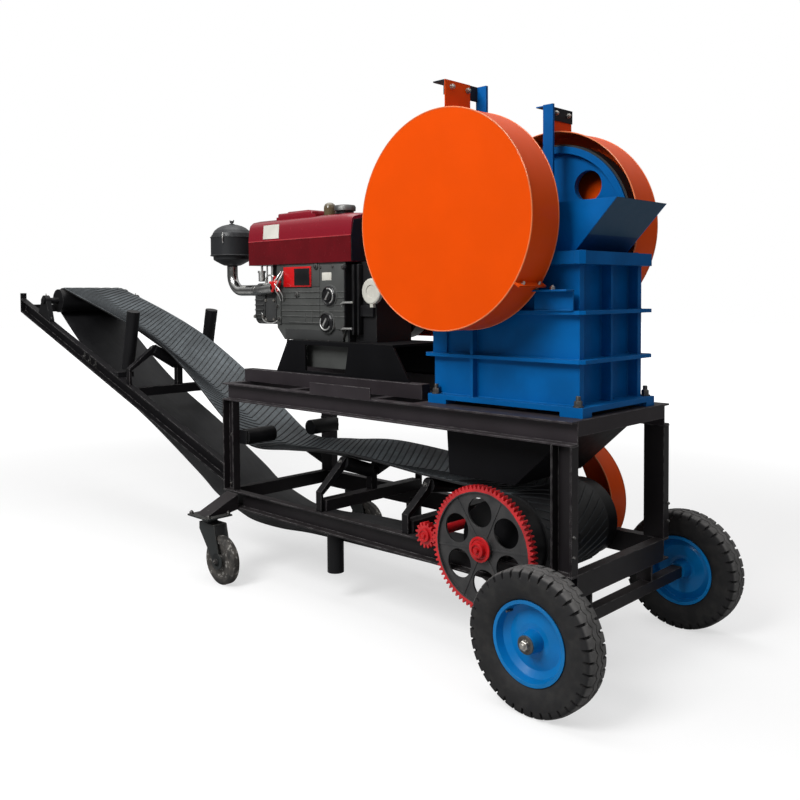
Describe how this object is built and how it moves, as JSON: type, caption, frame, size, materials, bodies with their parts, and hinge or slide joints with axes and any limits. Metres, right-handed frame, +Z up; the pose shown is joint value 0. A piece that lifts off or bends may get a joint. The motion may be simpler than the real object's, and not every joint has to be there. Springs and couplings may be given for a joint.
{
  "type": "mobile diesel jaw crusher with belt conveyor",
  "caption": "Wheeled diesel jaw crusher: blue ribbed crusher and engine on a steel chassis, orange guarded flywheels, and a troughed belt conveyor rising behind.",
  "frame": {"origin": "on the ground, under the middle of the machine's length and width", "axes": "+X along the machine towards the feed end, +Y towards the drive belt side, +Z up"},
  "size_m": [5.4235, 1.369, 2.541],
  "materials": {
    "frame_black": "worn satin",
    "crusher_blue": "gloss",
    "guard_orange": "gloss",
    "tank_red": "gloss",
    "drive_red": "satin",
    "engine_grey": "satin",
    "dark_cast": "rough",
    "jaw_steel": "rough",
    "bare_steel": "turned",
    "belt_rubber": "matte",
    "tyre_rubber": "matte",
    "wheel_blue": "gloss"
  },
  "bodies": {
    "machine_frame": {"air_cleaner": "dark_cast", "axle": "frame_black", "caster_arms": "frame_black", "conveyor_belt": "belt_rubber", "conveyor_cross_beams": "frame_black", "countershaft_bearings": "frame_black", "crusher_far_wall": "crusher_blue", "crusher_front_wall": "crusher_blue", "crusher_near_wall": "crusher_blue", "crusher_rear_wall": "crusher_blue", "cylinder_head": "engine_grey", "deck_cross_beams": "frame_black", "discharge_chute": "frame_black", "drive_belts": "belt_rubber", "engine_block": "engine_grey", "engine_flywheel": "dark_cast", "engine_rails": "frame_black", "engine_stand": "dark_cast", "far_belt_guard": "guard_orange", "far_conveyor_rail": "frame_black", "far_deck_beam": "frame_black", "far_lower_beam": "frame_black", "fixed_jaw": "jaw_steel", "fuel_tank": "tank_red", "guard_hangers": "crusher_blue", "guide_rollers": "bare_steel", "head_bearings": "frame_black", "hold_down_rollers": "bare_steel", "hopper_front_plate": "crusher_blue", "hopper_side_plates": "crusher_blue", "idler_brackets": "frame_black", "idler_rollers": "bare_steel", "legs": "frame_black", "lower_belt_guard": "guard_orange", "lower_cross_beams": "frame_black", "near_conveyor_rail": "frame_black", "near_deck_beam": "frame_black", "near_flywheel_guard": "guard_orange", "near_lower_beam": "frame_black", "swing_jaw": "jaw_steel", "tail_bearings": "frame_black", "toggle_plate": "jaw_steel"},
    "near_wheel": {"near_wheel_rim": "wheel_blue", "near_tyre": "tyre_rubber"},
    "far_wheel": {"far_wheel_rim": "wheel_blue", "far_tyre": "tyre_rubber"},
    "near_caster_swivel": {"near_caster_fork": "frame_black"},
    "far_caster_swivel": {"far_caster_fork": "frame_black"},
    "near_caster_roller": {"near_caster_wheel": "tyre_rubber"},
    "far_caster_roller": {"far_caster_wheel": "tyre_rubber"},
    "crusher_rotor": {"eccentric_shaft": "bare_steel", "near_flywheel": "crusher_blue", "far_flywheel": "crusher_blue"},
    "tail_drive": {"tail_drum": "bare_steel", "drive_gear": "drive_red"},
    "countershaft": {"pinion_shaft": "drive_red", "countershaft_pulley": "dark_cast"},
    "head_roller": {"head_drum": "bare_steel"}
  },
  "joints": [
    {"name": "near_wheel_spin", "type": "hinge", "parent": "machine_frame", "child": "near_wheel", "pos_m": [2.428, -0.6165, 0.2835], "axis": [0, 1, 0], "continuous": true},
    {"name": "near_caster_turn", "type": "hinge", "parent": "machine_frame", "child": "near_caster_swivel", "pos_m": [0.168, -0.566, 0.372], "axis": [0, 0, 1], "continuous": true},
    {"name": "near_caster_spin", "type": "hinge", "parent": "near_caster_swivel", "child": "near_caster_roller", "pos_m": [0.288, -0.566, 0.135], "axis": [0, 1, 0], "continuous": true},
    {"name": "far_wheel_spin", "type": "hinge", "parent": "machine_frame", "child": "far_wheel", "pos_m": [2.428, 0.6165, 0.2835], "axis": [0, 1, 0], "continuous": true},
    {"name": "far_caster_turn", "type": "hinge", "parent": "machine_frame", "child": "far_caster_swivel", "pos_m": [0.168, 0.566, 0.372], "axis": [0, 0, 1], "continuous": true},
    {"name": "far_caster_spin", "type": "hinge", "parent": "far_caster_swivel", "child": "far_caster_roller", "pos_m": [0.288, 0.566, 0.135], "axis": [0, 1, 0], "continuous": true},
    {"name": "rotor_spin", "type": "hinge", "parent": "machine_frame", "child": "crusher_rotor", "pos_m": [1.862, 0, 1.938], "axis": [0, 1, 0], "continuous": true},
    {"name": "tail_drum_spin", "type": "hinge", "parent": "machine_frame", "child": "tail_drive", "pos_m": [2.041, 0, 0.527], "axis": [0, 1, 0], "continuous": true},
    {"name": "countershaft_spin", "type": "hinge", "parent": "machine_frame", "child": "countershaft", "pos_m": [1.7225, 0, 0.527], "axis": [0, 1, 0], "continuous": true},
    {"name": "head_drum_spin", "type": "hinge", "parent": "machine_frame", "child": "head_roller", "pos_m": [-2.292, 0, 1.58497], "axis": [0, 1, 0], "continuous": true}
  ],
  "couplings": [
    {"joint": "countershaft_spin", "follows": "tail_drum_spin", "ratio": -5.0667},
    {"joint": "head_drum_spin", "follows": "tail_drum_spin", "ratio": 2.0526}
  ]
}
